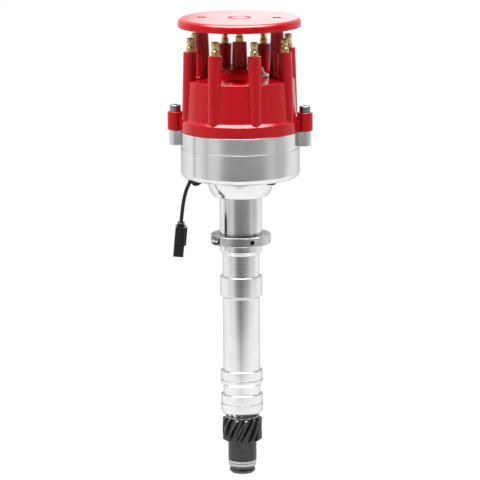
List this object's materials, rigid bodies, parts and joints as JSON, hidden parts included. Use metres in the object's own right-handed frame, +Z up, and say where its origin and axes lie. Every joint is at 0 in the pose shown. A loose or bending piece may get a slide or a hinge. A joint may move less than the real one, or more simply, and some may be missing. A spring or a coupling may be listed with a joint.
{
  "type": "ignition distributor",
  "caption": "Ignition distributor with a turned housing, slip collar, helical drive gear, moulded cap with leaning terminal towers and a round wire retainer.",
  "frame": {"origin": "on the shaft's axis, in the plane of the slip collar's underside that seats on the engine", "axes": "+Z up along the shaft towards the cap, +X from the shaft's axis towards the right cap screw, with the picture's viewer on the -Y side"},
  "size_m": [0.111, 0.094, 0.353],
  "materials": {
    "turned_aluminium": "satin",
    "collar_aluminium": "satin",
    "bearing_steel": "polished",
    "bushing_bronze": "satin",
    "moulded_red": "gloss",
    "terminal_brass": "polished",
    "carbon": "matte",
    "screw_steel": "satin",
    "black_steel": "satin",
    "shaft_steel": "satin",
    "weight_steel": "satin",
    "spring_steel": "satin",
    "gear_iron": "satin",
    "end_steel": "gloss",
    "washer_steel": "satin",
    "bushing_plastic": "matte",
    "magnet": "satin",
    "coil_plastic": "satin",
    "black_rubber": "satin",
    "lead_jacket": "satin",
    "connector_plastic": "satin"
  },
  "bodies": {
    "housing": {"housing": "turned_aluminium", "bearing_outer_ring": "bearing_steel", "bearing_balls": "bearing_steel", "bearing_clip": "bearing_steel", "lower_bushing": "bushing_bronze", "pickup_bracket": "shaft_steel", "pickup_magnet": "magnet", "pickup_pole": "shaft_steel", "pickup_coil": "coil_plastic", "pickup_screws": "screw_steel", "distributor_cap": "moulded_red", "plug_terminal_1": "terminal_brass", "plug_terminal_2": "terminal_brass", "plug_terminal_3": "terminal_brass", "plug_terminal_4": "terminal_brass", "plug_terminal_5": "terminal_brass", "plug_terminal_6": "terminal_brass", "plug_terminal_7": "terminal_brass", "plug_terminal_8": "terminal_brass", "coil_terminal": "terminal_brass", "button_spring": "spring_steel", "cap_screw_left": "screw_steel", "cap_screw_right": "screw_steel", "wire_retainer": "moulded_red", "retainer_screw_left": "screw_steel", "retainer_screw_right": "screw_steel", "lead_grommet": "black_rubber", "vent_plug": "black_rubber", "lead": "lead_jacket", "connector_boot": "black_rubber", "connector_body": "connector_plastic", "connector_pins": "terminal_brass"},
    "shaft": {"main_shaft": "shaft_steel", "bearing_inner_ring": "bearing_steel", "bearing_spacer": "bearing_steel", "thrust_washer": "washer_steel", "upper_end_washer": "washer_steel", "lower_end_washer": "washer_steel", "drive_gear": "gear_iron", "gear_pin": "black_steel", "drive_end": "end_steel", "advance_cam": "shaft_steel"},
    "advance": {"advance_plate": "shaft_steel", "stop_bushing": "bushing_plastic", "reluctor": "shaft_steel", "weight_pins": "shaft_steel", "rotor": "moulded_red", "rotor_screws": "screw_steel", "rotor_blade": "terminal_brass", "rotor_leaf": "terminal_brass", "advance_spring_left": "spring_steel", "advance_spring_right": "spring_steel"},
    "weight_left": {"flyweight_left": "weight_steel"},
    "weight_right": {"flyweight_right": "weight_steel"},
    "button": {"carbon_button": "carbon"},
    "collar": {"slip_collar": "collar_aluminium", "collar_clamp_screw": "screw_steel", "collar_set_screw": "black_steel"}
  },
  "joints": [
    {"name": "shaft_spin", "type": "hinge", "parent": "housing", "child": "shaft", "pos_m": [0, 0, 0], "axis": [0, 0, -1], "continuous": true},
    {"name": "advance_turn", "type": "hinge", "parent": "shaft", "child": "advance", "pos_m": [0, 0, 0.0758], "axis": [0, 0, -1], "range_deg": [0, 14], "stiffness_Nm_per_rad": 0.4, "deforming": ["advance_spring_left", "advance_spring_right"]},
    {"name": "weight_left_swing", "type": "hinge", "parent": "advance", "child": "weight_left", "pos_m": [-0.017, 0, 0.0761], "axis": [0, 0, -1], "range_deg": [0, 21]},
    {"name": "weight_right_swing", "type": "hinge", "parent": "advance", "child": "weight_right", "pos_m": [0.017, 0, 0.0761], "axis": [0, 0, -1], "range_deg": [0, 21]},
    {"name": "button_press", "type": "slide", "parent": "housing", "child": "button", "axis": [0, 0, 1], "range_m": [0, 0.0016], "stiffness_N_per_m": 300, "deforming": ["button_spring"]},
    {"name": "collar_slide", "type": "slide", "parent": "housing", "child": "collar", "axis": [0, 0, 1], "range_m": [-0.005, 0.028]}
  ],
  "couplings": [
    {"joint": "weight_left_swing", "follows": "advance_turn", "ratio": 1.5},
    {"joint": "weight_right_swing", "follows": "advance_turn", "ratio": 1.5}
  ]
}
